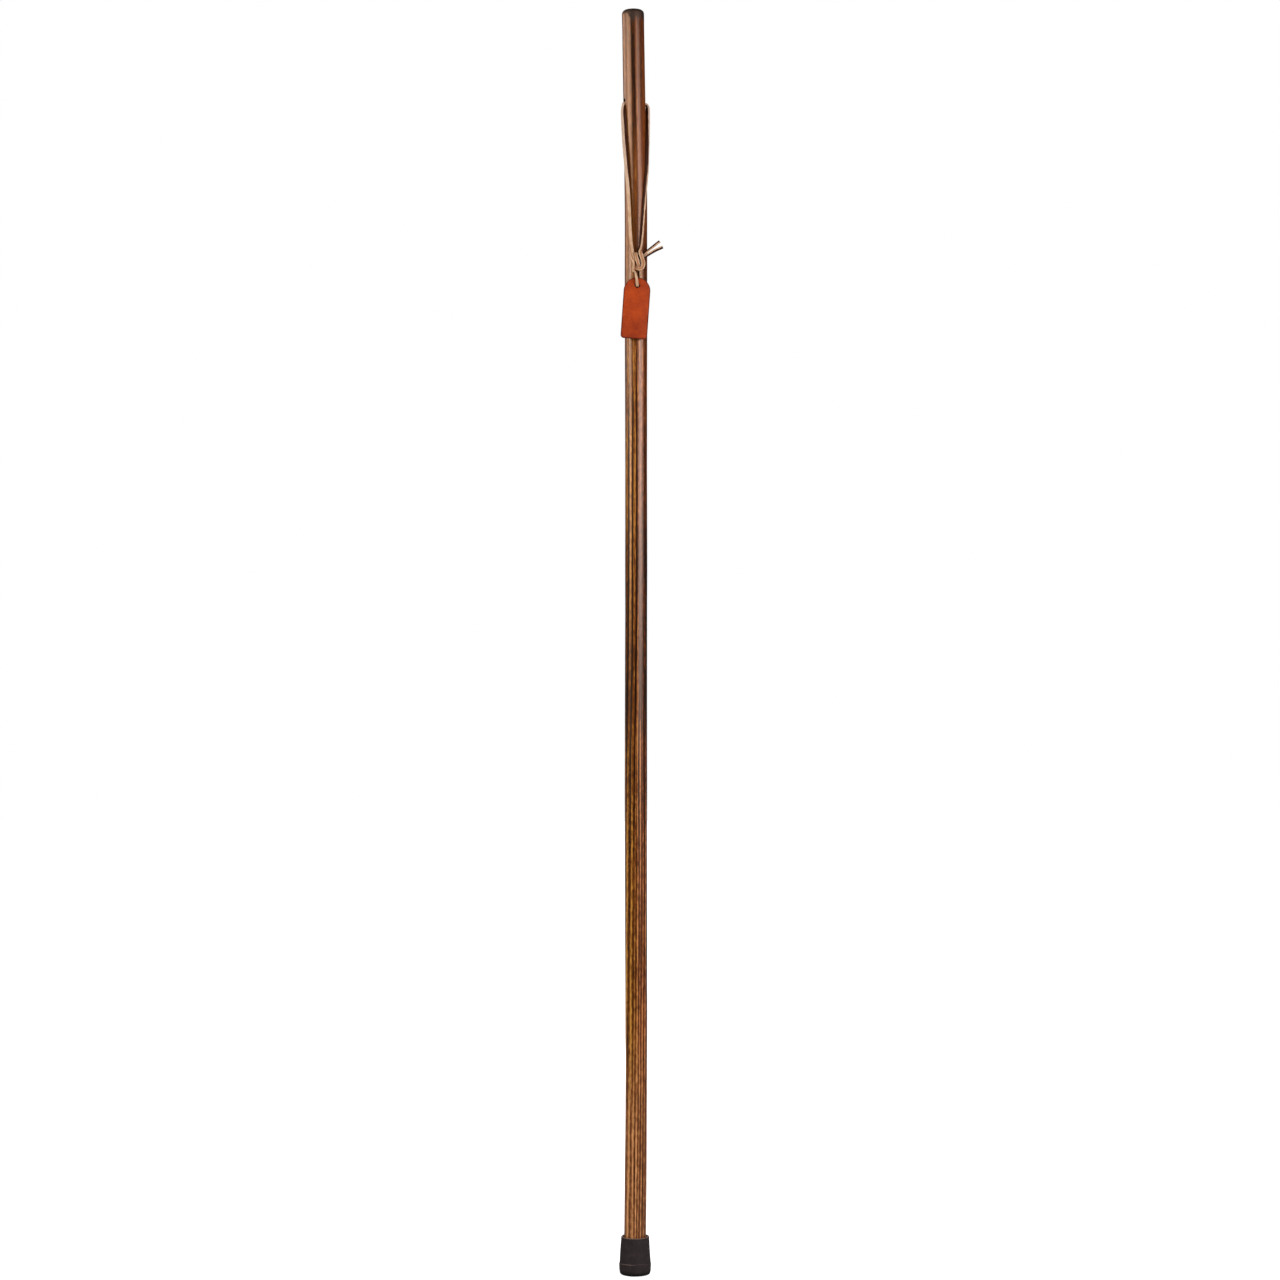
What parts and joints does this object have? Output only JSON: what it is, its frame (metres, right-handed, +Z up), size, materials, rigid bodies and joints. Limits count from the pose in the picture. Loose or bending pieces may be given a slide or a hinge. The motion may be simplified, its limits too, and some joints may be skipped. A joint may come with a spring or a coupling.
{
  "type": "hiking staff",
  "caption": "Tall straight wooden hiking staff with a push-on rubber ferrule, and a leather wrist thong knotted through a cross hole with a leather hang tag.",
  "frame": {"origin": "centre of the ferrule's foot, on the floor", "axes": "+Z up along the stick, +X to the right and -Y towards the side where the knot and the tag hang"},
  "size_m": [0.0497, 0.0419, 1.4731],
  "materials": {
    "stained_wood": "satin lacquer over a dark stain",
    "tip_rubber": "matte moulded",
    "washer_steel": "zinc plated",
    "thong_leather": "natural vegetable-tanned lace",
    "tag_leather": "waxed with burnished edges"
  },
  "bodies": {
    "staff": {"shaft": "stained_wood", "rubber_tip": "tip_rubber", "tip_washer": "washer_steel"},
    "strap": {"wrist_thong": "thong_leather"},
    "tag": {"leather_tag": "tag_leather"}
  },
  "joints": [
    {"name": "strap_swing", "type": "hinge", "parent": "staff", "child": "strap", "pos_m": [-0.0019, 0, 1.366], "axis": [-0.9396, -0.342, -0.0148], "range_deg": [0, 120]},
    {"name": "tag_swing", "type": "hinge", "parent": "strap", "child": "tag", "pos_m": [0.0016, -0.0182, 1.1496], "axis": [0, 1, 0], "range_deg": [-45, 45]}
  ]
}
